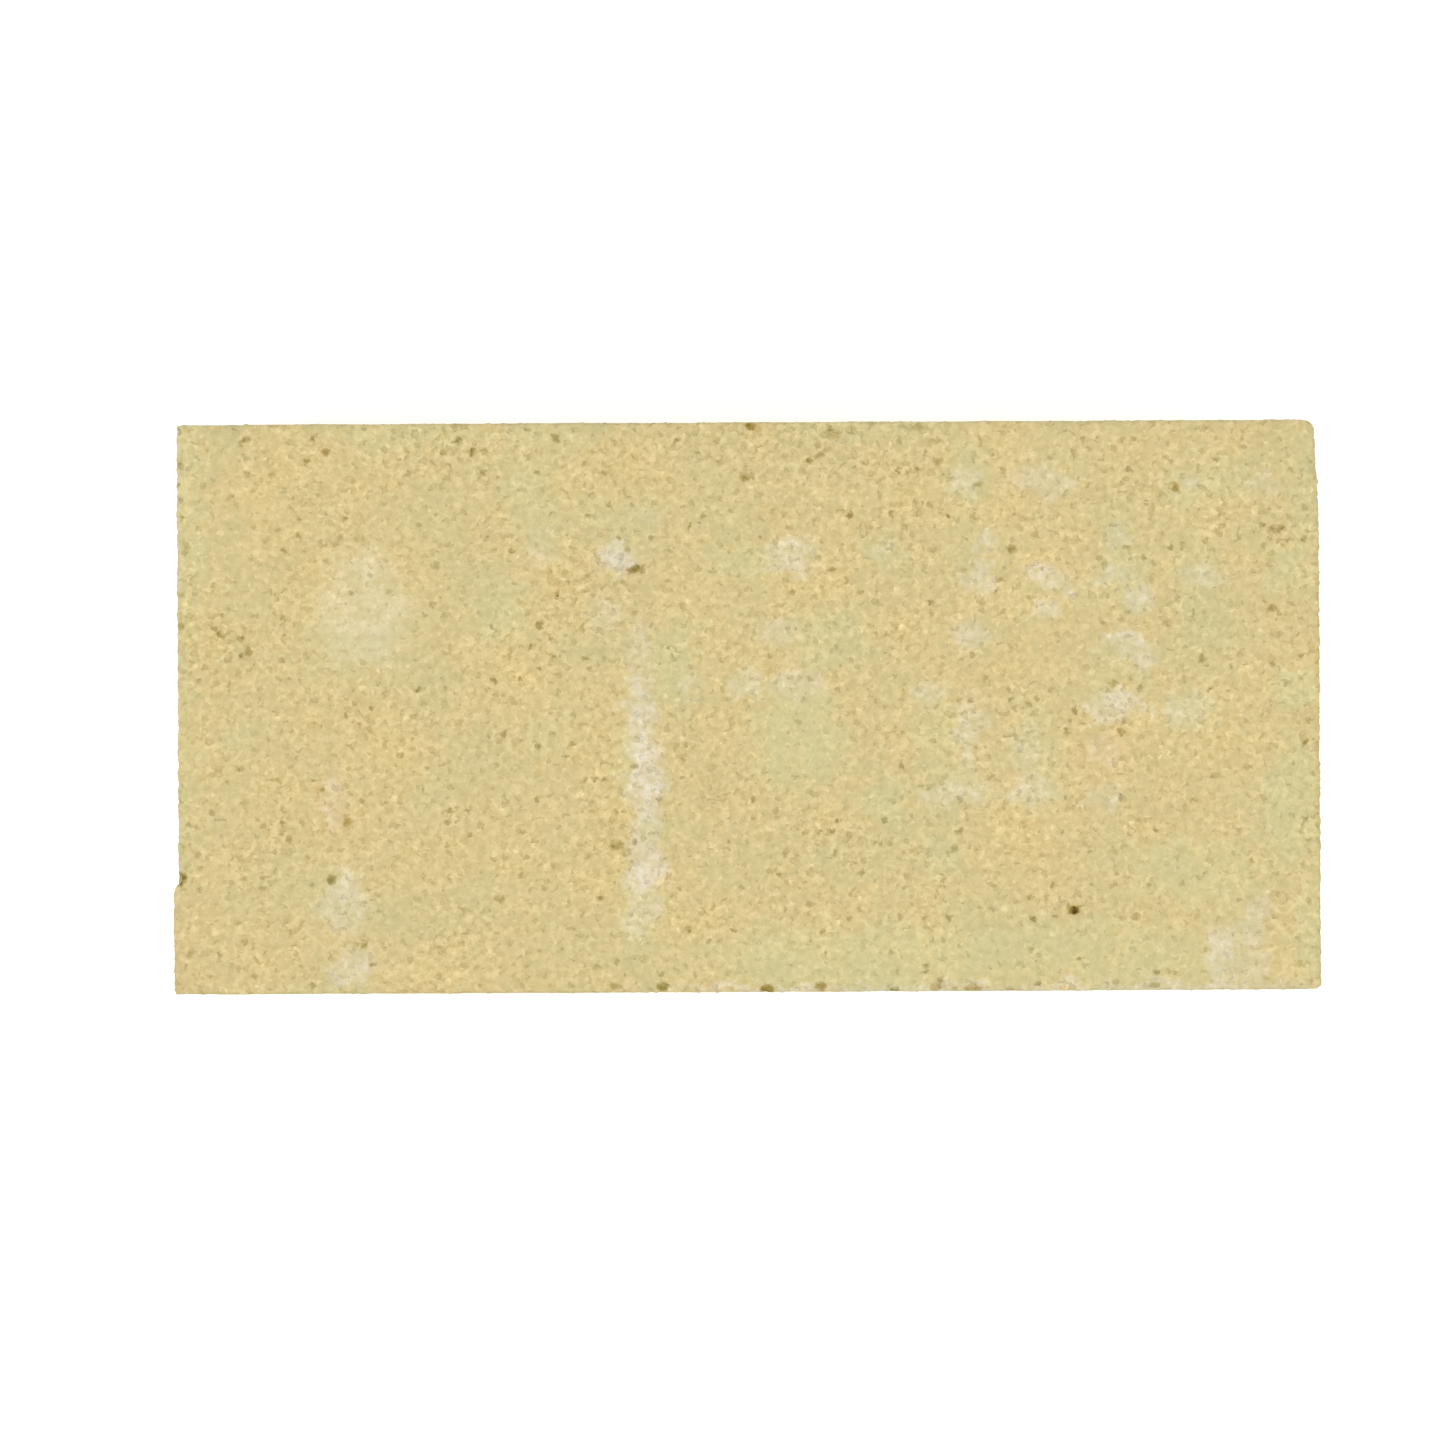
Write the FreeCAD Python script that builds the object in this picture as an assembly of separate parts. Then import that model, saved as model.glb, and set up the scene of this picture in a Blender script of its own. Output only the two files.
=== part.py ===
import FreeCAD, Part
import math
import os

# Dense fireclay brick, 9 x 4.5 x 2.5 inch standard straight, lying on its bed face.
# +X runs along the length, +Y across the width, +Z up through the thickness.
# The origin is on the floor, under the middle of the brick's outer box.
# All sizes are in millimetres.

# Body
length = 228.6
width = 114.3
thickness = 63.5

# Lip that stands out of the left end beside the near corner
lipProud = 1.0
lipWidth = 20.0
lipRamp = 3.4

# Right end, drawn in towards the far corner by an arc
sweepWidth = 28.0
sweepDepth = 1.1

# Upright corners
farLeftRadius = 0.9
nearLeftRadius = 1.1
nearRightRadius = 1.4
farRightRadius = 2.4

# Rounding of the arrises around both bed faces
arrisRadius = 0.7

# Pit in the hollow where the lip meets the left end
pitRadius = 1.1
pitDepth = 1.9

# Chips along the upper arrises: half length, depth in from the sharp corner line
smallChip = (1.5, 0.55)
wideChip = (2.6, 0.75)
deepChip = (2.2, 0.95)

# Places of the chips, measured along each side from the middle of the brick
nearChips = [(-66.5, smallChip), (-36.0, smallChip), (-16.4, smallChip), (4.5, smallChip),
             (15.2, wideChip), (38.4, smallChip), (74.0, deepChip), (97.5, smallChip)]
farChips = [(-86.0, smallChip), (-58.5, wideChip), (-12.0, smallChip), (31.5, smallChip),
            (66.0, smallChip)]
leftChips = [(31.7, smallChip), (-8.0, smallChip)]
rightChips = [(48.8, deepChip), (13.7, wideChip), (-31.2, smallChip)]

# Derived places
leftFace = -(length + lipProud) / 2 + lipProud
lipFace = leftFace - lipProud
rightFace = leftFace + length
nearFace = -width / 2
farFace = width / 2
lipTop = nearFace + lipWidth


def vector(x, y, z=0.0):
    return FreeCAD.Vector(x, y, z)


def line(start, end):
    return Part.LineSegment(vector(*start), vector(*end)).toShape()


def arc(start, middle, end):
    return Part.Arc(vector(*start), vector(*middle), vector(*end)).toShape()


def corner(center, radius, startAngle):
    # quarter circle about center, counterclockwise from startAngle in degrees
    points = []
    for step in (0, 45, 90):
        angle = math.radians(startAngle + step)
        points.append((center[0] + radius * math.cos(angle), center[1] + radius * math.sin(angle)))
    return arc(*points)


def lipStep():
    # S-shaped ramp of two tangent arcs, from the left face out to the lip
    radius = (lipRamp ** 2 + lipProud ** 2) / (4 * lipProud)
    half = math.asin(lipRamp / 2 / radius) / 2
    drop = radius * math.sin(half)
    rise = radius * (1 - math.cos(half))
    middle = (leftFace - lipProud / 2, lipTop + lipRamp / 2)
    hollow = arc((leftFace, lipTop + lipRamp),
                 (leftFace - rise, lipTop + lipRamp - drop), middle)
    crest = arc(middle, (lipFace + rise, lipTop + drop), (lipFace, lipTop))
    return [hollow, crest]


def rightEnd():
    # flat face, then the shallow arc that ends at the far corner's own arc
    sweepRadius = (sweepWidth ** 2 + sweepDepth ** 2) / (2 * sweepDepth)
    sweepStart = farFace - sweepWidth
    sweepCenter = (rightFace - sweepRadius, sweepStart)
    cornerY = farFace - farRightRadius
    rise = cornerY - sweepStart
    turn = math.asin(rise / (sweepRadius - farRightRadius))
    cornerX = sweepCenter[0] + (sweepRadius - farRightRadius) * math.cos(turn)
    meet = (cornerX + farRightRadius * math.cos(turn), cornerY + farRightRadius * math.sin(turn))
    halfway = (sweepCenter[0] + sweepRadius * math.cos(turn / 2),
               sweepCenter[1] + sweepRadius * math.sin(turn / 2))
    bend = (turn + math.pi / 2) / 2
    bent = (cornerX + farRightRadius * math.cos(bend), cornerY + farRightRadius * math.sin(bend))
    edges = [line((rightFace, nearFace + nearRightRadius), (rightFace, sweepStart)),
             arc((rightFace, sweepStart), halfway, meet),
             arc(meet, bent, (cornerX, farFace))]
    return edges, cornerX


def outline():
    # counterclockwise, seen from above
    endEdges, farCornerX = rightEnd()
    edges = [line((lipFace + nearLeftRadius, nearFace), (rightFace - nearRightRadius, nearFace)),
             corner((rightFace - nearRightRadius, nearFace + nearRightRadius), nearRightRadius, 270)]
    edges += endEdges
    edges += [line((farCornerX, farFace), (leftFace + farLeftRadius, farFace)),
              corner((leftFace + farLeftRadius, farFace - farLeftRadius), farLeftRadius, 90),
              line((leftFace, farFace - farLeftRadius), (leftFace, lipTop + lipRamp))]
    edges += lipStep()
    edges += [line((lipFace, lipTop), (lipFace, nearFace + nearLeftRadius)),
              corner((lipFace + nearLeftRadius, nearFace + nearLeftRadius), nearLeftRadius, 180)]
    return Part.Wire(edges)


def roundArrises(block):
    # both bed faces lose their sharp rim; the upright edges are round already
    rim = []
    for edge in block.Edges:
        box = edge.BoundBox
        if box.ZLength < thickness / 2:
            rim.append(edge)
    return block.makeFillet(arrisRadius, rim)


def chip(x, y, outX, outY, size):
    # shell-shaped flake off the upper arris: a ball that dips in along the diagonal
    halfLength, depth = size
    radius = (halfLength ** 2 + depth ** 2) / (2 * depth)
    reach = (radius - depth) / math.sqrt(2)
    center = vector(x + outX * reach, y + outY * reach, thickness + reach)
    return Part.makeSphere(radius, center)


def chips():
    flakes = [chip(x, nearFace, 0, -1, size) for x, size in nearChips]
    flakes += [chip(x, farFace, 0, 1, size) for x, size in farChips]
    flakes += [chip(leftFace, y, -1, 0, size) for y, size in leftChips]
    flakes += [chip(rightFace, y, 1, 0, size) for y, size in rightChips]
    return flakes


def lipPit():
    # small burst pore at the top of the lip's ramp
    return Part.makeSphere(pitRadius, vector(leftFace, lipTop + lipRamp, thickness - pitDepth / 2))


def firebrick():
    block = Part.Face(outline()).extrude(vector(0, 0, thickness))
    block = roundArrises(block)
    for flake in chips() + [lipPit()]:
        block = block.cut(flake)
    return block


os.makedirs("parts", exist_ok=True)
brick = firebrick()
brick.exportStep("parts/firebrick.step")
print("firebrick", brick.ShapeType, len(brick.Solids), round(brick.Volume), brick.BoundBox)
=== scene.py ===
import math
import random

import bpy
import numpy as np
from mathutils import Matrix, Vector
from mathutils import noise as clayNoise


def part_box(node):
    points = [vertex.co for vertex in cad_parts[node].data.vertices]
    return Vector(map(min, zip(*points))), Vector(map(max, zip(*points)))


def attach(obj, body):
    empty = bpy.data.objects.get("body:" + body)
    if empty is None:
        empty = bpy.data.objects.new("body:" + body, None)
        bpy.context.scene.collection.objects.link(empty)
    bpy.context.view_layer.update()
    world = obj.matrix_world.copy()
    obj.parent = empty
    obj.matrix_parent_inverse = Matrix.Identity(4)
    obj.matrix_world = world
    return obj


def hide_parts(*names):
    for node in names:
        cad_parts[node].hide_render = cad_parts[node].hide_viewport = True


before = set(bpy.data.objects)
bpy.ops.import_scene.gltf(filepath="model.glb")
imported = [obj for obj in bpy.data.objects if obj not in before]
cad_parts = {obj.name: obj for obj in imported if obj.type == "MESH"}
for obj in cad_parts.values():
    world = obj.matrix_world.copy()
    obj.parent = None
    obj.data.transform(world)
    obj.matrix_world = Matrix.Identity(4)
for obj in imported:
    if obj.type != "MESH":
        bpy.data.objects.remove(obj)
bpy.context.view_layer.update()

mm = 0.001               # the scene is in metres, the sizes below are in millimetres
low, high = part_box("firebrick")
halfLength = high.x / mm
halfWidth = high.y / mm
topHeight = high.z / mm
print("frame loaded, brick", round(2 * halfLength, 1), round(2 * halfWidth, 1), round(topHeight, 1), "mm")


# small helpers for the modelling steps

def only(thing):
    bpy.ops.object.select_all(action="DESELECT")
    thing.select_set(True)
    bpy.context.view_layer.objects.active = thing


def applyModifier(thing, kind, settings):
    only(thing)
    modifier = thing.modifiers.new(kind.lower(), kind)
    for name, value in settings.items():
        setattr(modifier, name, value)
    bpy.ops.object.modifier_apply(modifier=modifier.name)


# the body of the brick: a copy of the CAD block, chipped, pitted and roughened

brick = {
    "name": "firebrickClay",
    "seed": 41,
    "voxel": 0.4,                # fineness of the clay mesh, mm
    "triangles": 186000,         # what is left after thinning
    "clearance": 0.01,           # the clay stays this far inside the CAD box, mm
    "lipProud": 1.0,             # the left end steps out by this below lipTop, mm
    "lipTop": -36.0,
    "sweepDepth": 1.1,           # the right end draws in towards the far corner, mm
    "sweepWidth": 28.0,

    # pores scattered over every face, in mm
    "pores": 190,
    "poreRadius": (0.35, 0.8),
    "poreStretch": (0.7, 1.3),
    "poreDepth": (0.3, 0.6),
    "poreMargin": 3,             # they keep this far from the arrises
    "poreShade": 0.60,           # how dark the painted shade inside a pore is
    "shadeReach": 1.5,           # where its shade ends, and over what share of its radius it fades
    "shadeFade": 0.8,
    "lipPit": (-113.8, -33.75, topHeight - 0.95),      # the burst pore that the CAD block has
    "lipPitShade": 1.7,          # the radius that its shade is taken from, mm

    # small breaks along the arrises, in mm
    "flakes": (34, 17, 8),       # how many on each arris along X, Y and Z
    "flakeSize": 0.45,
    "flakeGrowth": 0.9,          # the largest are bigger by this
    "flakeStandOff": 0.55,       # how far out a flake's middle stands, as a share of its size
    "flakeLength": (1.0, 2.2),

    # how far the long arrises stand back, at even steps from the left end to the right, mm
    "farWave": [0.52, 0.20, 0.36, 0.54, 0.16, 0.28, 0.48, 0.16, 0.04, 0.38, 0.46, 0.50],
    "nearWave": [0.44, 0.30, 0.24, 0.30, 0.24, 0.18, 0.10, 0.22, 0.46, 0.40, 0.14, 0.06],
    "lowerFollow": (0.2, 1.2),   # by what share the lower arrises follow the upper ones
    "faceRows": 7,
    "faceDip": 0.16,             # how far the bed faces dip, mm

    "arrisReach": 3.6,           # width of the worn band beside an arris, mm
    # relief: texture, size of its grain in mm, octaves, strength in mm, on the arrises alone
    "relief": [("unevenFace", 7, 1, 0.18, False), ("nickedArris", 2.8, 1, 0.50, True),
               ("raggedArris", 1.1, 2, 0.72, True), ("sandyFace", 1.1, 2, 0.16, False)],
    "reliefMiddle": 0.8,         # darker than this the texture presses the clay in
}

# pores on the upper bed face: x, y, long radius, short radius, depth, turn in degrees
topPores = [
    (-22.2, 27.7, 1.25, 0.60, 0.75, 24), (65.3, -40.9, 0.85, 0.75, 0.45, 0),
    (-83.0, -34.2, 0.80, 0.60, 0.60, 40), (-99.5, 11.3, 0.60, 0.55, 0.55, 0),
    (85.8, 43.7, 0.60, 0.50, 0.50, 0), (52.9, 31.3, 0.65, 0.55, 0.50, 0),
    (-0.1, 45.8, 0.60, 0.50, 0.45, 0), (57.2, -42.6, 0.55, 0.50, 0.50, 0),
    (-84.2, 51.4, 0.60, 0.55, 0.50, 0), (-105.1, 15.0, 0.55, 0.50, 0.40, 0),
    (104.9, 19.2, 0.50, 0.45, 0.45, 0), (-76.8, -47.4, 0.60, 0.50, 0.40, 30),
    (-80.2, -22.8, 0.65, 0.45, 0.40, 60), (35.6, -51.5, 0.55, 0.50, 0.45, 0),
    (-38.2, 53.4, 0.55, 0.50, 0.40, 0), (90.8, 9.3, 0.50, 0.40, 0.35, 0),
]


def copyOfNode(nodeName, name):
    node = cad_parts[nodeName]
    block = bpy.data.objects.new(name, node.data.copy())
    bpy.context.scene.collection.objects.link(block)
    only(block)
    bpy.ops.object.mode_set(mode="EDIT")
    bpy.ops.mesh.select_all(action="SELECT")
    bpy.ops.mesh.remove_doubles(threshold=0.001 * mm)
    bpy.ops.object.mode_set(mode="OBJECT")
    block.data.materials.clear()
    return block


def roughFlake():
    # one broken grain, the tool that every chip and pore is cut with
    bpy.ops.object.select_all(action="DESELECT")
    bpy.ops.mesh.primitive_ico_sphere_add(subdivisions=2, radius=1.0)
    flake = bpy.context.object
    bpy.ops.object.mode_set(mode="EDIT")
    bpy.ops.mesh.select_all(action="SELECT")
    bpy.ops.transform.vertex_random(offset=0.13, uniform=0.2, normal=0.3, seed=7)
    bpy.ops.object.mode_set(mode="OBJECT")
    return flake


def placeFlake(flake, place, radii, turn):
    piece = flake.copy()
    piece.data = flake.data.copy()
    bpy.context.scene.collection.objects.link(piece)
    piece.location = [value * mm for value in place]
    piece.scale = [value * mm for value in radii]
    piece.rotation_euler = turn
    return piece


def scatterPores(rng):
    # the pores that the photo shows, then others on every face: place, radii, turn
    pores = [((x, y, topHeight), (longRadius, shortRadius, depth), math.radians(turn))
             for x, y, longRadius, shortRadius, depth, turn in topPores]
    half = (halfLength, halfWidth, topHeight / 2)
    for count in range(brick["pores"]):
        across = rng.choice((0, 1, 1, 2, 2, 2))
        place = [rng.uniform(-1, 1) * (reach - brick["poreMargin"]) for reach in half]
        side = rng.choice((-1, 1))
        place[across] = side * half[across]
        if across == 0:
            place[0] -= side * endInset(side, place[1])
        place[2] += half[2]
        radius = rng.uniform(*brick["poreRadius"])
        radii = [radius * rng.uniform(*brick["poreStretch"]) for axis in range(3)]
        radii[across] = rng.uniform(*brick["poreDepth"])
        pores.append((place, radii, 0))
    return pores


def endInset(side, y):
    # how far an end face stands back from the box: beside the lip, and in the drawn-in corner
    if side < 0:
        return brick["lipProud"] if y > brick["lipTop"] else 0
    return brick["sweepDepth"] * max(1 - (halfWidth - y) / brick["sweepWidth"], 0) ** 2


def arrisFlakes(flake, rng):
    # small breaks along all twelve arrises; most are barely deeper than the rounding
    half = (halfLength, halfWidth, topHeight / 2)
    pieces = []
    for along, count in enumerate(brick["flakes"]):
        for signs in ((-1, -1), (-1, 1), (1, -1), (1, 1)):
            for number in range(count):
                size = brick["flakeSize"] + brick["flakeGrowth"] * rng.random() ** 3
                place = [0, 0, 0]
                place[along] = rng.uniform(-1, 1) * half[along]
                others = [axis for axis in range(3) if axis != along]
                for across, sign in zip(others, signs):
                    place[across] = sign * (half[across] + brick["flakeStandOff"] * size)
                if along:
                    place[0] -= signs[0] * endInset(signs[0], place[1])
                place[2] += half[2]
                radii = [size, size, size]
                radii[along] *= rng.uniform(*brick["flakeLength"])
                pieces.append(placeFlake(flake, place, radii, (0, 0, 0)))
    return pieces


def cutFlakes(block, pores, rng):
    flake = roughFlake()
    pieces = [placeFlake(flake, place, radii, (0, 0, turn)) for place, radii, turn in pores]
    pieces += arrisFlakes(flake, rng)
    bpy.ops.object.select_all(action="DESELECT")
    for piece in pieces:
        piece.select_set(True)
    cutter = pieces[0]
    bpy.context.view_layer.objects.active = cutter
    bpy.ops.object.join()
    only(cutter)
    bpy.ops.object.transform_apply(location=True, rotation=True, scale=True)
    applyModifier(block, "BOOLEAN", {"operation": "DIFFERENCE", "object": cutter, "solver": "EXACT",
                                     "use_self": True})
    bpy.data.objects.remove(cutter)
    bpy.data.objects.remove(flake)
    print("cut", len(pieces), "chips and pores")


def waveLattice(block):
    # a lattice as long as the brick pulls its arrises in and out and dips its faces
    rng = random.Random(brick["seed"] + 1)
    columns = len(brick["farWave"])
    rows = brick["faceRows"]
    cage = bpy.data.lattices.new("wave")
    cage.points_u, cage.points_v, cage.points_w = columns, rows, 2
    cage.interpolation_type_u = cage.interpolation_type_v = "KEY_CARDINAL"
    cage.interpolation_type_w = "KEY_LINEAR"
    holder = bpy.data.objects.new("wave", cage)
    bpy.context.scene.collection.objects.link(holder)
    holder.location = (0, 0, topHeight / 2 * mm)
    holder.scale = (2 * halfLength * mm, 2 * halfWidth * mm, topHeight * mm)
    for layer in range(2):
        for row in range(rows):
            for column in range(columns):
                point = cage.points[(layer * rows + row) * columns + column]
                place = point.co_deform.copy()
                inner = 0 < row < rows - 1 and 0 < column < columns - 1
                dip = rng.uniform(0, brick["faceDip"]) if inner else 0
                place.z -= (dip if layer else -dip) / topHeight
                follow = 1 if layer else rng.uniform(*brick["lowerFollow"])
                if row == 0:
                    place.y += brick["nearWave"][column] * follow / (2 * halfWidth)
                if row == rows - 1:
                    place.y -= brick["farWave"][column] * follow / (2 * halfWidth)
                point.co_deform = place
    bpy.context.view_layer.update()
    applyModifier(block, "LATTICE", {"object": holder})
    bpy.data.objects.remove(holder)


def arrisGroup(block):
    # vertices near an arris, in four steps of weight
    group = block.vertex_groups.new(name="arris")
    steps = 4
    levels = [[] for step in range(steps)]
    for vertex in block.data.vertices:
        x, y, z = (value / mm for value in vertex.co)
        gaps = sorted((halfLength - abs(x), halfWidth - abs(y), min(z, topHeight - z)))
        near = 1 - gaps[1] / brick["arrisReach"]
        if near > 0:
            levels[min(int(near * steps), steps - 1)].append(vertex.index)
    for step, indices in enumerate(levels):
        group.add(indices, (step + 1) / steps, "REPLACE")
    return group.name


def roughen(block):
    group = arrisGroup(block)
    for name, grain, octaves, strength, onArrises in brick["relief"]:
        texture = bpy.data.textures.new(name, "CLOUDS")
        texture.noise_scale = grain * mm
        texture.noise_depth = octaves
        applyModifier(block, "DISPLACE", {"texture": texture, "strength": strength * mm,
                                          "direction": "NORMAL", "texture_coords": "LOCAL",
                                          "mid_level": brick["reliefMiddle"],
                                          "vertex_group": group if onArrises else ""})


def pressFlat(block):
    # the mould's walls hold back whatever would stand past them
    gap = brick["clearance"] * mm
    for vertex in block.data.vertices:
        for axis, (start, end) in enumerate(zip(low, high)):
            vertex.co[axis] = min(max(vertex.co[axis], start + gap), end - gap)


def firebrickClay():
    block = copyOfNode("firebrick", brick["name"])
    rng = random.Random(brick["seed"])
    pores = scatterPores(rng)
    cutFlakes(block, pores, rng)
    pores.append((brick["lipPit"], (brick["lipPitShade"],) * 3, 0))      # shaded, but not cut again
    waveLattice(block)
    voxel = brick["voxel"] * 1
    applyModifier(block, "REMESH", {"mode": "VOXEL", "voxel_size": voxel * mm})
    print("remeshed to", len(block.data.polygons), "faces")
    roughen(block)
    applyModifier(block, "TRIANGULATE", {})
    applyModifier(block, "DECIMATE", {"ratio": min(brick["triangles"] / len(block.data.polygons), 1)})
    pressFlat(block)
    block.vertex_groups.clear()
    only(block)
    bpy.ops.object.shade_smooth()
    clayNoise.seed_set(brick["seed"])                # the marks' rims wander the same way every time
    addStrengths(block, "rubbed", paintMarks(block, rubMarks, wander=2.2, softness=0.35))
    addStrengths(block, "greened", paintMarks(block, greenMarks, wander=3.5, softness=0.4))
    addStrengths(block, "coarse", paintMarks(block, coarseMarks, wander=4.0, softness=0.6))
    # dark marks are iron grains plus painted shade in pores and chip bottoms; shadePores adds painted shade
    # inside every pore
    stainsAndShade = paintMarks(block, darkMarks, wander=0, softness=0.45)
    addStrengths(block, "stainedAndShaded", np.maximum(stainsAndShade, shadePores(block, pores)))
    print("brick has", len(block.data.polygons), "triangles")
    return block


# shader sums written as expressions

class Wire:
    tree = None

    def __init__(self, socket):
        self.socket = socket

    @classmethod
    def node(cls, kind, settings=None, sockets=None, output=0):
        made = cls.tree.nodes.new(kind)
        for name, value in (settings or {}).items():
            setattr(made, name, value)
        for name, value in (sockets or {}).items():
            if isinstance(value, Wire):
                cls.tree.links.new(value.socket, made.inputs[name])
            else:
                made.inputs[name].default_value = value
        return Wire(made.outputs[output])

    @classmethod
    def parts(cls, kind, settings, sockets, outputs):
        # one node, several of its outputs
        first = cls.node(kind, settings, sockets, outputs[0])
        return [Wire(first.socket.node.outputs[output]) for output in outputs]

    def maths(self, operation, *others):
        return Wire.node("ShaderNodeMath", {"operation": operation}, dict(enumerate((self, *others))))

    def __add__(self, other):
        return self.maths("ADD", other)

    __radd__ = __add__

    def __mul__(self, other):
        return self.maths("MULTIPLY", other)

    __rmul__ = __mul__

    def __sub__(self, other):
        return self.maths("SUBTRACT", other)

    def __rsub__(self, other):
        return Wire.node("ShaderNodeMath", {"operation": "SUBTRACT"}, {0: other, 1: self})

    def most(self, other):
        return self.maths("MAXIMUM", other)

    def span(self, start, end, first=0.0, last=1.0, smooth=True):
        kind = "SMOOTHSTEP" if smooth else "LINEAR"
        return Wire.node("ShaderNodeMapRange", {"interpolation_type": kind},
                         {"Value": self, "From Min": start, "From Max": end,
                          "To Min": first, "To Max": last})


def vectorMaths(operation, *values):
    return Wire.node("ShaderNodeVectorMath", {"operation": operation}, dict(enumerate(values)))


def noise(place, scale, detail=2.0, roughness=0.5):
    return Wire.node("ShaderNodeTexNoise", {"noise_dimensions": "3D"},
                     {"Vector": place, "Scale": scale, "Detail": detail, "Roughness": roughness})


def grains(place, scale):
    # distance from the middle of each grain, and two random numbers for each grain
    rim, tint = Wire.parts("ShaderNodeTexVoronoi", {"voronoi_dimensions": "3D", "feature": "F1"},
                           {"Vector": place, "Scale": scale}, ("Distance", "Color"))
    return rim, *Wire.parts("ShaderNodeSeparateColor", None, {0: tint}, ("Red", "Green"))


clay = {
    "buff": (0.498, 0.405, 0.192),        # the clay's mean colour, linear
    "grainTone": (0.636, 0.567, 0.376),   # how the colour moves from dark grains to light ones
    "warmTone": (0.936, -0.029, -0.350),  # from greenish to peachy buff
    "paleTone": (0.290, 0.490, 0.850),    # towards the whitish rub marks
    "greenTone": (-0.450, 0.670, 0.590),  # towards the pale green patches
    "darkest": (0.02, 0.015, 0.01),
    "roughness": 0.93,
    "specular": 0.25,

    # how fine each pattern is, in cells for each mm
    "patchScale": 0.06,          # soft patches, 10 to 20 mm across
    "lumpScale": 0.22,           # 4 mm lumps
    "sandScale": 0.70,           # sandy grain
    "fleckScale": 0.64,          # dark grains and small pores
    "grainScale": 0.94,          # grains of about 1 mm
    "spotScale": 0.46,           # soft dark spots, a few in each cm
    "swerveScale": 0.9,          # what bends the patterns of grain, by swerve in mm
    "swerve": 1.7,
    "scuffScale": 0.05,          # pale scuffs on the sides
    "dragScale": 0.55,           # lines down the sides, drawn out by dragStretch
    "dragStretch": 0.06,

    # how much each one lightens, darkens or warms the clay
    "sandLight": 0.43,
    "grainLight": 0.07,
    "lumpLight": 0.115,
    "patchLight": 0.06,
    "creamLight": 0.13,
    "dragLight": 0.10,
    "speckDark": 0.110,
    "spotDark": 0.28,
    # stains, and the painted shade in pores and chips, darken the clay by this
    "stainAndShadeDark": 0.40,
    # painted shade along the arrises, where their rounding turns away from the light
    "arrisPaintedShade": 0.09,
    "rubDark": 0.015,
    "patchWarm": 0.09,
    "lumpWarm": 0.04,
    "grainWarm": 0.012,
    "rubPale": 0.132,
    "arrisPale": 0.35,           # an arris is rubbed by this share
    "scuffPale": 0.4,
    "green": 0.032,
    "rubCalm": 0.4,              # rub marks smooth the grain by this, and add a few specks
    "rubSpecks": 0.1,

    # how grains crowd together: the share of each pattern
    "crowdLumps": 1.6,
    "crowdPatches": 1.2,
    "crowdGrains": 0.5,
    "crowdMarks": 0.5,
    "spotCrowd": 0.16,           # and how many more spots and specks there are
    "speckCrowd": 0.12,

    # where each pattern begins and ends, then what it goes from and to
    "ruggedSpan": (-0.45, 0.55, 0.65, 1.45),
    "sandSpan": (0.30, 0.62, 0.60, 1.34),
    "lumpSpan": (0.34, 0.66, 0.65, 1.35),
    "creamChance": (0.78, 0.97),
    "creamRim": (0.55, 0.15),
    "spotChance": (0.70, 1.06),
    "spotRim": (0.42, 0.12),
    "spotRagged": 0.3,
    "speckSpan": (0.41, 0.25),
    "stainAndShadeSpan": (0.26, 0.50),
    "stainAndShadeRagged": 0.6,
    "scuffSpan": (0.56, 0.72),
    "arrisSpan": (0.95, 1.9),    # two of the three faces' bands meet on an arris

    # bands beside the arrises, and where the sides begin below a bed face, mm
    "arrisBand": (1.3, 0.1),
    "sideBand": (0.3, 1.8),

    # relief too fine for the mesh
    "bumpStrength": 0.8,
    "bumpDepth": 0.35,           # mm
    "sandRelief": 0.6,
    "speckRelief": 0.5,
    "spotRelief": 0.5,
    "dragRelief": 0.25,

    # marks on the upper bed face
    "soakDepth": 2.0,            # how far down the sides they reach, mm
    "soakFade": 0.9,             # over how many mm they fade there
    "wanderScale": 0.25,         # the noise that bends their rims, and its finer share
    "fineScale": 0.7,
    "fineShare": 0.6,
}

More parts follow.
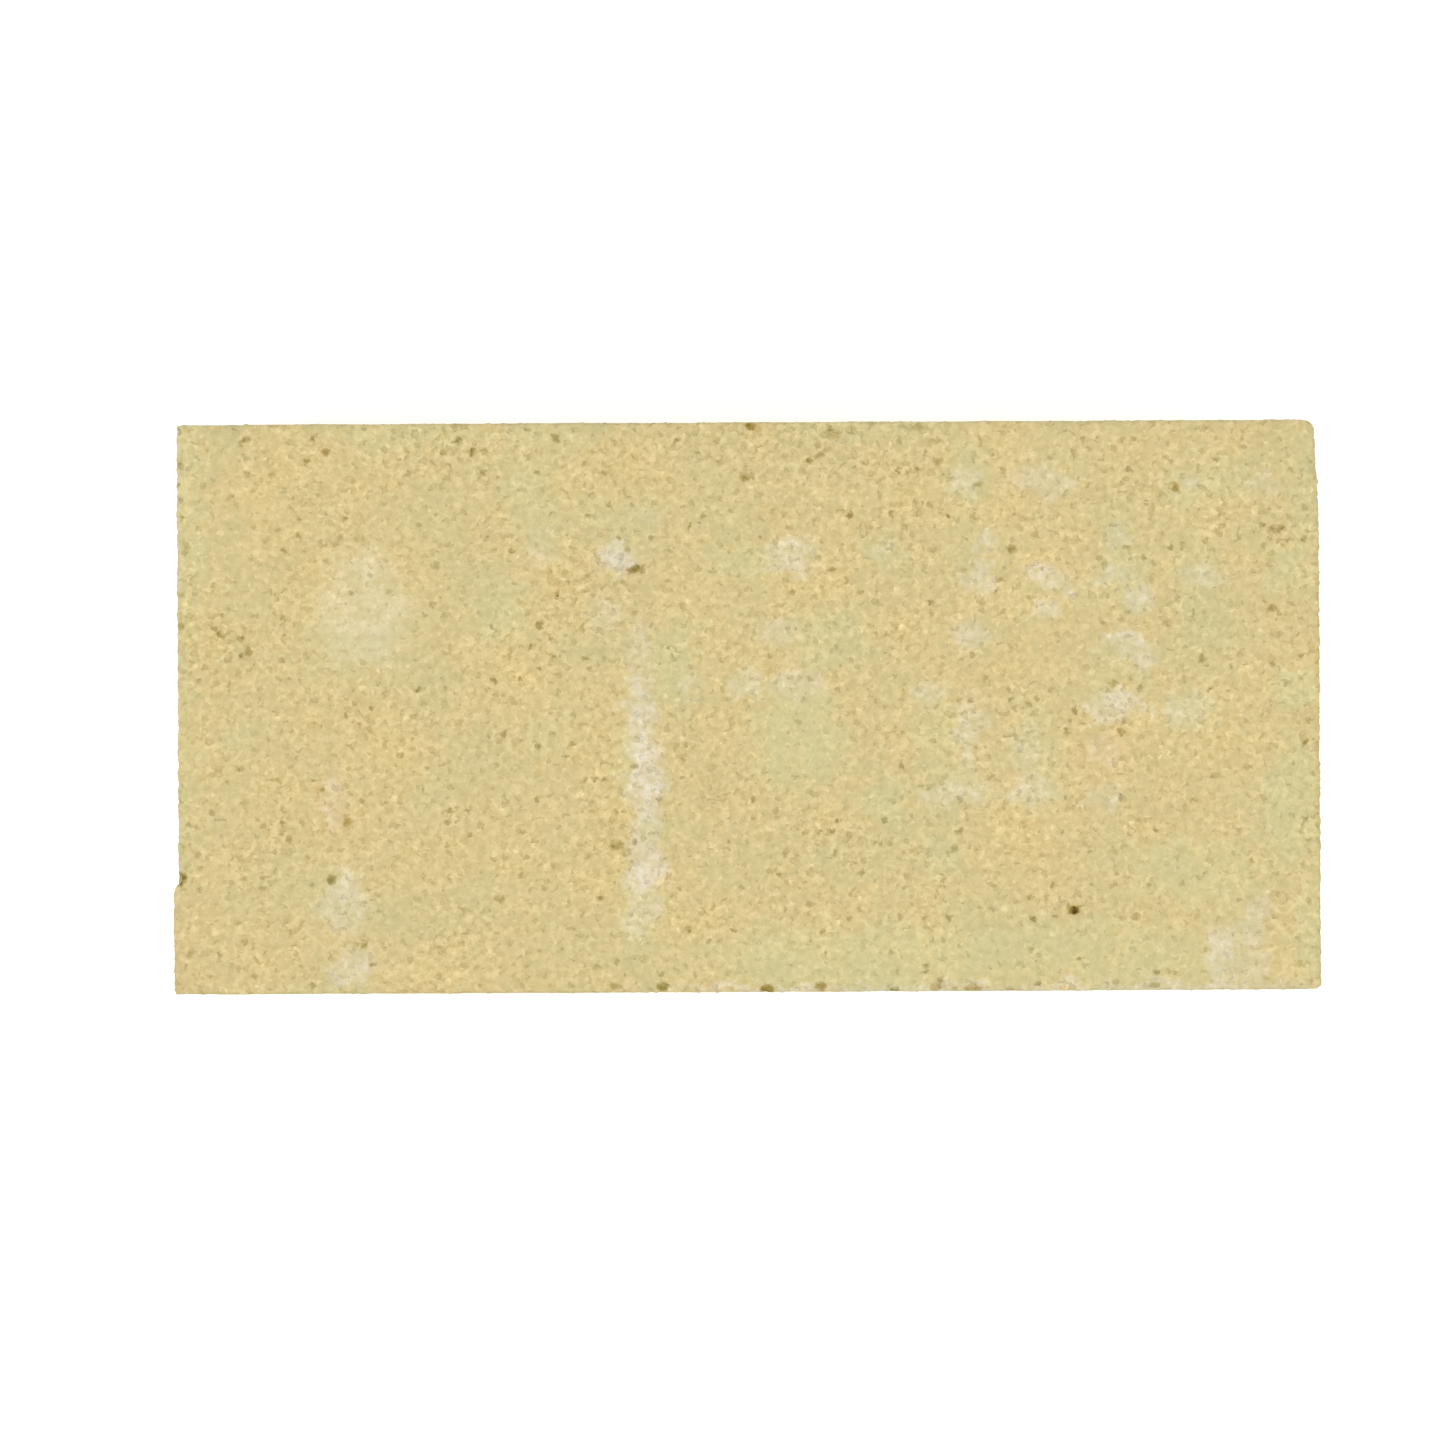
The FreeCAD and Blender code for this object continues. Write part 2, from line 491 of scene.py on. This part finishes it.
# marks on the upper bed face: x, y, half width, half height in mm, strength, turn in degrees
rubMarks = [                              # whitish, where other bricks rubbed
    (-76.3, 19.8, 9.0, 11.0, 0.45, 0), (-20.9, -1.0, 2.6, 7.5, 0.98, 0),
    (-20.3, -13.0, 3.6, 9.0, 1.15, 0), (-20.4, -32.4, 4.2, 4.6, 1.05, 0),
    (-20.7, -24.0, 2.8, 6.0, 0.55, 0), (-20.6, -41.0, 3.0, 5.0, 0.50, 0),
    (-21.2, 10.0, 2.8, 8.0, 0.40, 0), (-25.4, 30.0, 3.9, 2.8, 1.10, 0), (-41.3, 32.0, 3.0, 4.0, 0.30, 0),
    (8.9, 29.5, 5.2, 3.6, 0.70, 0), (26.9, 31.0, 2.4, 1.8, 0.35, 0), (-80.6, -38.6, 4.4, 6.0, 0.60, 0),
    (-79.0, -51.5, 5.4, 2.6, 0.70, 24), (-82.3, -18.5, 1.8, 6.5, 0.50, 0),
    (95.0, -50.0, 3.0, 6.0, 0.75, 0), (101.4, -52.2, 3.2, 3.4, 0.45, 0),
    (101.4, -43.6, 2.4, 7.0, 0.50, -20), (44.0, 45.2, 2.8, 3.0, 0.45, 0), (59.3, 44.6, 5.8, 2.8, 0.50, 0),
    (88.9, 44.6, 2.6, 2.2, 0.60, 0), (103.4, 43.8, 3.4, 2.4, 0.45, 0), (48.0, 32.6, 2.4, 2.0, 0.55, 0),
    (74.6, 33.4, 2.2, 1.7, 0.45, 0), (46.8, 26.1, 3.2, 3.2, 0.65, 0), (60.4, 25.8, 5.2, 2.3, 0.85, -14),
    (72.8, 25.6, 3.6, 1.9, 0.60, 0), (91.2, 25.4, 4.6, 2.0, 0.65, -12), (60.0, 19.4, 2.4, 1.9, 0.60, 0),
    (78.2, 20.8, 2.9, 2.9, 0.75, -30), (44.8, 15.0, 4.2, 3.2, 0.60, 0), (75.6, 12.4, 4.2, 2.3, 0.80, -25),
    (79.8, 9.6, 2.8, 2.1, 0.70, 0), (73.2, -0.2, 6.6, 2.8, 0.85, 0), (87.6, -0.6, 4.4, 3.2, 0.50, 0),
    (37.0, 2.6, 3.8, 2.4, 0.40, 0), (44.5, -4.5, 2.6, 8.0, 0.50, 0), (-11.5, 4.4, 2.6, 2.4, 0.32, 0),
    (0.0, 4.4, 3.2, 2.6, 0.40, 0), (10.4, 4.6, 5.0, 3.0, 0.50, 0), (7.0, 15.5, 4.0, 2.2, 0.55, 0),
    (41.4, -17.6, 6.6, 2.6, 0.50, 3), (56.6, -17.0, 4.6, 2.8, 0.62, 0), (71.4, -18.2, 4.0, 3.0, 0.48, 0),
    (56.0, -8.4, 3.0, 5.4, 0.40, 0), (70.4, -9.0, 2.6, 3.4, 0.45, 0), (-28.4, 18.6, 3.4, 3.0, 0.40, 0),
    (-20.6, 38.6, 3.6, 2.4, 0.15, 0), (40.0, -56.3, 56.0, 1.0, 0.62, 0),
    (88.0, -56.3, 26.0, 1.2, 0.70, 0),
]
greenMarks = [                            # pale yellowish green
    (26.0, -49.6, 36.0, 6.4, 0.80, 0), (70.0, -49.8, 24.0, 6.0, 0.75, 0),
    (109.6, -20.0, 6.0, 13.0, 0.85, 0), (91.0, -33.0, 13.5, 7.0, 0.70, 0),
    (10.5, -6.4, 9.5, 9.8, 0.82, 0), (17.0, 13.6, 9.0, 5.2, 0.62, 0), (-13.6, 10.0, 4.6, 9.0, 0.75, 0),
    (-48.6, 18.6, 4.6, 6.8, 0.80, 0), (-42.0, 41.5, 5.4, 9.0, 0.55, 0), (0.0, 29.0, 8.0, 4.2, 0.75, 0),
    (39.6, -9.6, 6.4, 11.0, 0.60, 0), (27.0, -18.6, 3.8, 3.8, 0.85, 0), (39.0, -30.0, 3.8, 3.8, 0.75, 0),
    (58.0, -8.0, 5.6, 10.0, 0.50, 0), (44.0, 45.0, 4.2, 7.0, 0.50, 0), (49.0, 31.0, 6.6, 4.6, 0.20, 0),
    (74.6, 27.0, 6.0, 8.6, 0.50, 0), (90.0, 22.0, 6.0, 15.0, 0.35, 0), (88.4, -0.8, 6.4, 4.4, 0.75, 0),
    (91.0, 43.4, 8.0, 4.6, 0.80, 0), (108.6, 28.0, 4.2, 5.0, 0.90, 0), (108.4, 3.6, 4.0, 5.0, 1.20, 0),
    (-76.3, 19.8, 11.0, 13.0, 0.40, 0), (-26.0, 38.0, 8.0, 5.0, 0.30, 0),
    (-101.0, -6.0, 3.6, 3.6, 0.45, 0), (-80.6, -38.6, 6.6, 7.0, 0.10, 0),
    (-39.0, -4.0, 4.4, 4.4, 0.35, 0), (-112.0, 36.0, 4.6, 22.0, 0.80, 0),
    (-112.6, -6.0, 3.6, 24.0, 0.55, 0), (-62.0, 54.0, 30.0, 3.4, 0.50, 0),
    (112.8, 40.0, 4.0, 14.0, 0.55, 0), (112.4, -46.0, 4.0, 10.0, 1.05, 0),
    (24.0, 55.4, 26.0, 2.4, 0.35, 0), (60.0, 21.4, 6.0, 5.4, 0.45, 0), (26.9, 31.0, 4.0, 3.0, 0.60, 0),
    (0.0, 4.4, 3.6, 3.0, 0.50, 0), (-20.6, -41.0, 5.0, 7.0, 0.60, 0), (-82.3, -18.5, 3.0, 7.0, -0.55, 0),
    (70.4, -9.0, 4.0, 4.4, -0.50, 0), (57.0, -17.4, 5.0, 4.0, 0.55, 0), (74.6, 5.6, 6.0, 8.0, 0.40, 0),
    (-20.7, -24.0, 3.0, 5.0, 0.45, 0), (-20.6, 38.6, 3.6, 3.0, 0.60, 0), (9.6, 29.6, 5.0, 3.6, 0.40, 0),
    (-24.2, -11.0, 1.8, 9.0, 0.55, 0),
]
coarseMarks = [                           # where dark grains crowd together, or below zero are few
    (-76.3, 19.8, 9.5, 11.5, -1.00, 0), (10.5, -6.4, 9.0, 9.0, -0.60, 0),
    (60.0, -50.0, 50.0, 5.5, -0.50, 0), (-101.0, 36.0, 7.0, 12.0, -0.60, 0),
    (91.0, -33.0, 12.0, 6.0, -0.50, 0), (60.0, 12.0, 6.0, 6.0, -0.40, 0),
    (-106.0, 14.6, 8.0, 4.6, 0.90, 10), (-57.0, 52.0, 11.0, 5.0, 0.80, 0),
    (8.0, 51.0, 30.0, 7.0, 0.75, 0), (16.0, 51.6, 7.0, 4.6, 1.00, 0), (33.0, 54.6, 6.0, 3.0, 1.00, 0),
    (-30.0, 26.0, 6.0, 8.0, 0.80, 0), (-34.0, 18.0, 6.6, 6.0, 0.60, 0), (-25.8, -26.6, 5.0, 3.6, 1.00, 0),
    (-95.6, -28.6, 6.0, 5.4, 0.75, 30), (-50.0, -8.0, 6.0, 3.4, 0.55, 0),
    (-58.5, -43.6, 7.0, 5.0, 0.60, 0), (17.6, -28.0, 9.0, 5.4, 0.70, 20),
    (-3.6, -15.4, 7.0, 5.6, 0.60, 0), (54.7, -3.0, 5.4, 5.0, 0.60, 0), (90.0, 18.0, 7.0, 5.0, 0.65, 0),
    (106.0, 36.0, 5.6, 4.6, 0.65, 0), (76.0, 42.0, 9.0, 4.0, 0.60, 0), (-84.0, 24.0, 5.0, 16.0, 0.35, 0),
    (-20.6, -12.0, 3.0, 11.0, 0.40, 0), (66.0, -40.0, 9.0, 4.4, 0.40, 0),
    (-66.0, 2.0, 10.0, 5.0, 0.45, 24), (30.0, 36.0, 10.0, 5.0, 0.45, 0),
]
darkMarks = [                             # grains of iron, and painted shade inside deep pores and on the bottoms of arris chips
    (65.2, -40.8, 1.05, 0.95, 1.55, 0), (-22.2, 27.6, 1.50, 0.72, 0.90, 24),
    (-82.9, -34.1, 1.15, 1.00, 0.85, 30), (-99.2, 11.4, 0.95, 0.85, 0.92, 0),
    (85.7, 43.6, 1.05, 0.85, 1.00, -40), (-76.4, -47.2, 1.15, 0.90, 0.90, 20),
    (-83.8, 51.3, 0.95, 0.85, 0.90, 0), (-0.1, 45.8, 1.05, 0.90, 0.95, 0),
    (52.9, 31.3, 1.00, 0.95, 0.80, 0), (-104.8, 15.0, 1.00, 0.90, 0.90, 0),
    (57.0, -42.6, 0.90, 0.85, 0.72, 0), (104.8, 19.2, 0.95, 0.90, 0.75, 0),
    (-57.1, 53.6, 1.00, 0.90, 0.66, 0), (-79.8, -22.6, 1.15, 0.85, 0.85, 60),
    (90.7, 9.3, 0.95, 0.90, 0.80, 0), (38.5, 48.9, 1.05, 0.95, 0.70, 0),
    (-111.7, 32.5, 1.00, 0.95, 0.78, 0), (-38.0, 54.2, 1.05, 0.90, 0.72, 0),
    (-91.4, -26.0, 1.05, 0.95, 0.80, 0), (-62.1, 28.6, 1.10, 1.00, 0.75, 0),
    (35.5, -51.7, 0.90, 0.80, 0.40, 0), (46.5, 44.4, 1.05, 0.95, 0.65, 0),
    (17.1, 54.3, 2.60, 1.30, 0.50, 0), (14.5, 50.3, 1.30, 1.00, 0.80, 0),
    (111.2, 33.3, 0.95, 0.90, 0.58, 0), (-25.9, -27.3, 1.80, 1.30, 0.68, 20),
    (41.5, -28.2, 1.15, 1.00, 0.75, 0), (56.1, 0.1, 1.10, 0.95, 0.68, 0),
    (-49.6, -37.8, 1.10, 0.95, 0.72, 0), (73.0, 4.4, 1.05, 0.95, 0.70, 0),
    (-17.0, -55.7, 1.3, 0.95, 0.90, 0), (3.9, -56.3, 1.4, 0.95, 1.15, 0),
    (14.5, -55.8, 1.3, 1.05, 0.85, 0), (29.4, -56.5, 1.1, 0.75, 0.72, 0),
    (37.5, -56.0, 1.3, 0.95, 0.72, 0), (38.4, -54.4, 1.1, 0.90, 0.60, 0),
    (41.4, -56.5, 1.0, 0.75, 0.50, 0), (45.0, -56.2, 2.4, 0.80, 0.62, 0),
    (52.4, -56.5, 1.0, 0.65, 0.54, 0), (-26.7, -55.6, 1.2, 0.85, 0.65, 0),
    (-66.5, -56.7, 1.2, 0.65, 0.30, 0), (81.2, -55.8, 1.4, 0.80, 0.60, 0),
    (73.4, -55.2, 1.1, 0.85, 0.55, 0), (-36.0, -56.8, 1.2, 0.75, 0.35, 0),
    (-99.5, 54.0, 1.05, 0.85, 0.57, 0), (1.1, 56.0, 1.20, 0.90, 0.95, 0),
    (34.6, 55.6, 1.15, 1.00, 0.72, 0), (-86.0, 56.6, 1.2, 0.75, 0.25, 0),
    (112.8, 46.4, 1.05, 1.4, 0.25, 0), (114.0, -27.8, 0.85, 1.1, 0.25, 0),
    (-112.6, 48.6, 0.95, 1.1, 0.60, 0), (-112.7, 41.8, 0.85, 0.9, 0.45, 0),
    (-112.7, 16.6, 0.95, 1.1, 0.55, 0), (-112.6, 22.9, 0.95, 1.0, 0.45, 0),
    (-112.8, -33.8, 1.10, 1.15, 1.20, 0), (105.9, 35.3, 1.70, 0.95, 0.90, 0),
    (111.5, 39.2, 1.15, 0.95, 0.48, 0),
]


def readPlaces(block):
    places = np.empty((len(block.data.vertices), 3), dtype=np.float32)
    block.data.vertices.foreach_get("co", places.ravel())
    return places / mm


def addStrengths(block, name, strengths):
    layer = block.data.attributes.new(name, "FLOAT", "POINT")
    layer.data.foreach_set("value", strengths.astype(np.float32))


def paintMarks(block, marks, wander, softness):
    # one strength for each vertex of the upper face; noise makes the marks' rims wander
    places = readPlaces(block)
    strengths = np.zeros(len(places))
    upper = np.flatnonzero(places[:, 2] > topHeight - clay["soakDepth"])
    spots = places[upper]
    if wander:
        shake = [clayNoise.noise_vector(Vector(spot) * clay["wanderScale"]) +
                 clayNoise.noise_vector(Vector(spot) * clay["fineScale"]) * clay["fineShare"]
                 for spot in spots]
        spots = spots + np.array(shake) * wander
    best = np.zeros(len(spots))
    soak = np.clip((places[upper, 2] - topHeight + clay["soakDepth"]) / clay["soakFade"], 0, 1)
    for x, y, halfWide, halfTall, strength, turn in marks:
        cosine, sine = math.cos(math.radians(turn)), math.sin(math.radians(turn))
        across, up = spots[:, 0] - x, spots[:, 1] - y
        rim = np.hypot((across * cosine + up * sine) / halfWide, (up * cosine - across * sine) / halfTall)
        fade = np.clip((1 + softness - rim) / (2 * softness), 0, 1)
        mark = strength * fade * fade * (3 - 2 * fade)
        best = np.where(np.abs(mark) > np.abs(best), mark, best)
    strengths[upper] = best * soak
    return strengths


def shadePores(block, pores):
    # painted shade: the colour is darkened inside a pore, where shade falls
    places = readPlaces(block)
    strengths = np.zeros(len(places))
    for place, radii, turn in pores:
        gap = np.linalg.norm(places - np.array(place, dtype=np.float32), axis=1) / (sum(radii) / 3)
        shade = np.clip((brick["shadeReach"] - gap) / brick["shadeFade"], 0, 1)
        strengths = np.maximum(strengths, brick["poreShade"] * shade)
    return strengths


def painted(name):
    return Wire.node("ShaderNodeAttribute", {"attribute_name": name}, None, "Fac")


def arrisMask(place):
    # 1 where two faces meet, fading over the band beside the arris, which is worn pale and also darkened with
    # painted shade
    sizes = vectorMaths("ABSOLUTE", place)
    x, y, z = Wire.parts("ShaderNodeSeparateXYZ", None, {0: sizes}, ("X", "Y", "Z"))
    start, end = clay["arrisBand"]
    alongX = x.span(halfLength - start, halfLength - end)
    alongY = y.span(halfWidth - start, halfWidth - end)
    alongZ = z.span(topHeight - start, topHeight - end).most(z.span(start, end))
    return (alongX + alongY + alongZ).span(*clay["arrisSpan"])


def sideMask(place):
    # 1 on the sides and ends, 0 on the two bed faces
    z = Wire.node("ShaderNodeSeparateXYZ", None, {0: place}, "Z")
    start, end = clay["sideBand"]
    return z.span(start, end) * z.span(topHeight - start, topHeight - end)


def fireclay():
    material = bpy.data.materials.new("fireclay")
    material.use_nodes = True
    Wire.tree = material.node_tree
    Wire.tree.nodes.clear()
    shader = Wire.tree.nodes.new("ShaderNodeBsdfPrincipled")
    output = Wire.tree.nodes.new("ShaderNodeOutputMaterial")
    Wire.tree.links.new(shader.outputs[0], output.inputs[0])

    coordinates = Wire.node("ShaderNodeTexCoord", None, None, "Object")
    place = vectorMaths("MULTIPLY", coordinates, (1 / mm, 1 / mm, 1 / mm))

    patches = noise(place, clay["patchScale"], 2.0, 0.6)
    lumps = noise(place, clay["lumpScale"], 1.0, 0.6)
    swerve = Wire.node("ShaderNodeTexNoise", {"noise_dimensions": "3D"},
                       {"Vector": place, "Scale": clay["swerveScale"], "Detail": 1.0}, "Color")
    bent = vectorMaths("MULTIPLY_ADD", swerve, (clay["swerve"],) * 3, place)
    sand = noise(bent, clay["sandScale"], 1.6, 0.6)
    flecks = noise(bent, clay["fleckScale"], 0.8, 0.6)
    grainRim, grainTone, grainWarmth = grains(bent, clay["grainScale"])
    spotRim, spotChance = grains(bent, clay["spotScale"])[::2]
    cream = grainWarmth.span(*clay["creamChance"]) * grainRim.span(*clay["creamRim"])

    side = sideMask(place)
    scuffs = noise(place, clay["scuffScale"], 2.0, 0.5).span(*clay["scuffSpan"]) * side
    drawnOut = vectorMaths("MULTIPLY", place, (1, 1, clay["dragStretch"]))
    drag = noise(drawnOut, clay["dragScale"], 1.5, 0.6)

    # where grains crowd together the grain is rougher, with more dark spots and specks
    rubbed = painted("rubbed") + scuffs * clay["scuffPale"]
    coarse = painted("coarse")
    crowd = (lumps - 0.5) * clay["crowdLumps"] + (patches - 0.5) * clay["crowdPatches"]
    crowd = crowd + (grainTone - 0.5) * clay["crowdGrains"] + coarse * clay["crowdMarks"]
    rugged = crowd.span(*clay["ruggedSpan"], smooth=False)
    spotCore = (spotRim + (sand - 0.5) * clay["spotRagged"]).span(*clay["spotRim"])
    spots = (spotChance + crowd * clay["spotCrowd"]).span(*clay["spotChance"]) * spotCore
    specks = (flecks - crowd * clay["speckCrowd"]).span(*clay["speckSpan"]) * (1 + rubbed * clay["rubSpecks"])

    # stains and the painted shade of pores and chips have ragged rims, rub marks are broken up by the grain
    greened = painted("greened")
    stainedAndShaded = painted("stainedAndShaded")
    stainAndShade = stainedAndShaded * (stainedAndShaded + (sand - 0.5) * clay["stainAndShadeRagged"]).span(*clay["stainAndShadeSpan"])
    arris = arrisMask(place)
    flecked = sand.span(*clay["sandSpan"], smooth=False) * lumps.span(*clay["lumpSpan"], smooth=False)
    pale = (rubbed * flecked + arris * clay["arrisPale"]) * (1 - stainAndShade)

    tone = ((sand - 0.5) * clay["sandLight"] + (grainTone - 0.5) * clay["grainLight"]) * rugged
    tone = tone * (1 - rubbed * clay["rubCalm"]) + (lumps - 0.5) * clay["lumpLight"]
    tone = tone + (patches - 0.5) * clay["patchLight"] + cream * clay["creamLight"]
    # the stain strength darkens for iron grains and for the painted shade inside pores and chips
    tone = tone - specks * clay["speckDark"] - spots * clay["spotDark"] - stainAndShade * clay["stainAndShadeDark"]
    # painted shade along the arrises, where their rounding turns away from the light
    tone = tone - arris * clay["arrisPaintedShade"] - rubbed * clay["rubDark"]
    tone = tone + (drag - 0.5) * side * clay["dragLight"]
    warm = (patches - 0.5) * clay["patchWarm"] + (lumps - 0.5) * clay["lumpWarm"]
    warm = warm + (grainWarmth - 0.5) * clay["grainWarm"]

    color = clay["buff"]
    for amount, direction in ((tone, "grainTone"), (warm, "warmTone"), (pale * clay["rubPale"], "paleTone"),
                              (greened * (1 - stainAndShade) * clay["green"], "greenTone")):
        step = Wire.node("ShaderNodeCombineXYZ", None, {0: amount, 1: amount, 2: amount})
        color = vectorMaths("MULTIPLY_ADD", step, clay[direction], color)
    color = vectorMaths("MAXIMUM", color, clay["darkest"])

    relief = sand * clay["sandRelief"] - specks * clay["speckRelief"] - spots * clay["spotRelief"]
    relief = relief + drag * side * clay["dragRelief"]
    bump = Wire.node("ShaderNodeBump", None, {"Strength": clay["bumpStrength"], "Height": relief,
                                              "Distance": clay["bumpDepth"] * mm})

    Wire.tree.links.new(color.socket, shader.inputs["Base Color"])
    Wire.tree.links.new(bump.socket, shader.inputs["Normal"])
    shader.inputs["Roughness"].default_value = clay["roughness"]
    shader.inputs["Specular IOR Level"].default_value = clay["specular"]
    return material


# the stage: a pale floor, an even studio light and a camera straight above

stage = {
    "floorSize": 30,             # m
    "floorTone": 0.97,
    "floorRoughness": 0.9,
    "floorSpecular": 0.1,
    "skyStrength": 0.915,
    # lamps far away: strength, width across in degrees, turn from straight above in degrees
    "overhead": (1.28, 7.0, (2, -1.5, 0)),
    "fill": (0.34, 14.0, (32, 0, -60)),
    "lampHeight": 2,             # m
    "lens": 100.0,
    "sensor": 36.0,
    "pictureSize": 1445,         # px, the picture is square
    "pixelSize": 0.1994,         # mm of brick in one pixel
    "brickCentre": (746.5, 707.2),         # px
    "turn": 0.275,               # degrees, the brick's right end lies higher in the picture
    "clip": (0.01, 50),          # m
}


def makeFloor():
    bpy.ops.object.select_all(action="DESELECT")
    bpy.ops.mesh.primitive_plane_add(size=stage["floorSize"], location=(0, 0, 0))
    floor = bpy.context.object
    floor.name = "floor"
    material = bpy.data.materials.new("paleFloor")
    material.use_nodes = True
    surface = material.node_tree.nodes["Principled BSDF"]
    surface.inputs["Base Color"].default_value = (*[stage["floorTone"]] * 3, 1)
    surface.inputs["Roughness"].default_value = stage["floorRoughness"]
    surface.inputs["Specular IOR Level"].default_value = stage["floorSpecular"]
    floor.data.materials.append(material)


def makeLight():
    world = bpy.data.worlds.new("studio")
    world.use_nodes = True
    background = world.node_tree.nodes["Background"]
    background.inputs["Color"].default_value = (1, 1, 1, 1)
    background.inputs["Strength"].default_value = stage["skyStrength"]
    bpy.context.scene.world = world
    for name in ("overhead", "fill"):
        strength, width, turn = stage[name]
        lamp = bpy.data.lights.new(name, "SUN")
        lamp.energy = strength
        lamp.angle = math.radians(width)
        holder = bpy.data.objects.new(name, lamp)
        bpy.context.scene.collection.objects.link(holder)
        holder.location = (0, 0, stage["lampHeight"])
        holder.rotation_euler = [math.radians(angle) for angle in turn]


def makeCamera():
    data = bpy.data.cameras.new("camera")
    camera = bpy.data.objects.new("camera", data)
    bpy.context.scene.collection.objects.link(camera)
    data.lens = stage["lens"]
    data.sensor_width = stage["sensor"]
    data.clip_start, data.clip_end = stage["clip"]
    middle = stage["pictureSize"] / 2
    seenWidth = stage["pictureSize"] * stage["pixelSize"] * mm
    camera.location = ((middle - stage["brickCentre"][0]) * stage["pixelSize"] * mm,
                       (stage["brickCentre"][1] - middle) * stage["pixelSize"] * mm,
                       topHeight * mm + seenWidth * stage["lens"] / stage["sensor"])
    camera.rotation_euler = (0, 0, -math.radians(stage["turn"]))
    bpy.context.scene.camera = camera


makeFloor()
makeLight()
makeCamera()
bpy.context.scene.view_settings.view_transform = "Standard"
print("stage ready")

body = firebrickClay()
body.data.materials.append(fireclay())
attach(body, "root")
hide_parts("firebrick")
print("brick dressed")
